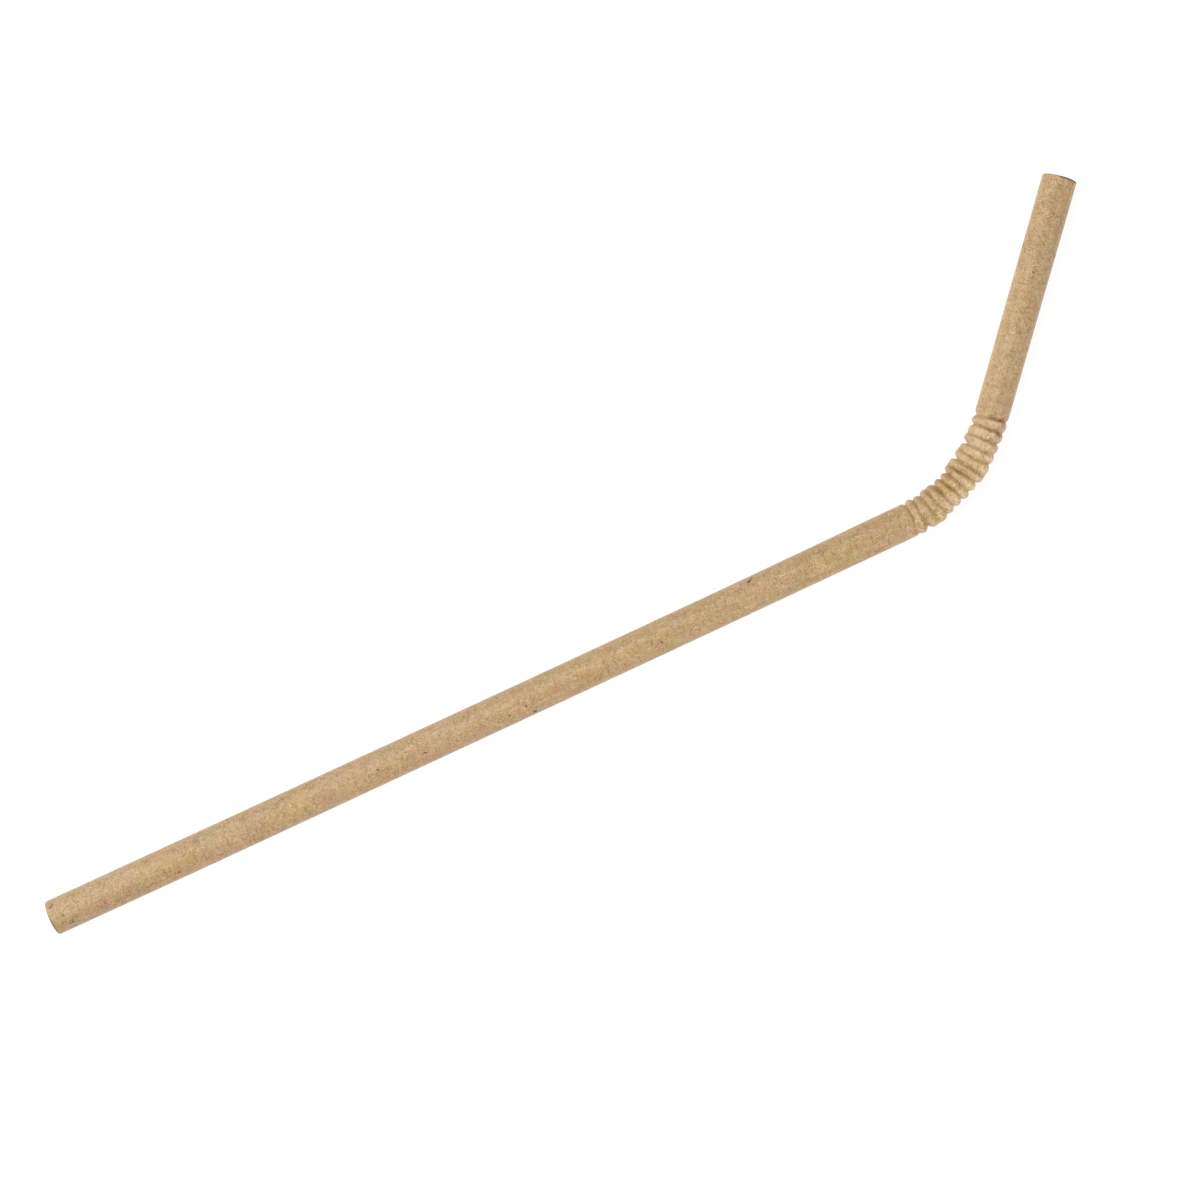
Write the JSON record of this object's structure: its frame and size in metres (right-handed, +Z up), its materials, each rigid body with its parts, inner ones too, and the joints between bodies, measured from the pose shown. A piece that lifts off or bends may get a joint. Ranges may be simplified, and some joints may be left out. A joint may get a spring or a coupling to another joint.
{
  "type": "bendy paper straw",
  "caption": "Kraft paper drinking straw, open at both ends, with a long foot limb and a short mouth limb joined by a crimped corrugated bend.",
  "frame": {"origin": "under the middle of the straw's bounding box, on the surface that it lies on", "axes": "+X along the long limb from its foot end towards the bend, +Y to the side that the short limb turns to, +Z up from the surface"},
  "size_m": [0.2102, 0.047, 0.006],
  "materials": {
    "kraft_paper": "matt uncoated brown kraft paper with fine fibres and dark flecks"
  },
  "bodies": {
    "root": {"straw_tube": "kraft_paper"}
  },
  "joints": []
}
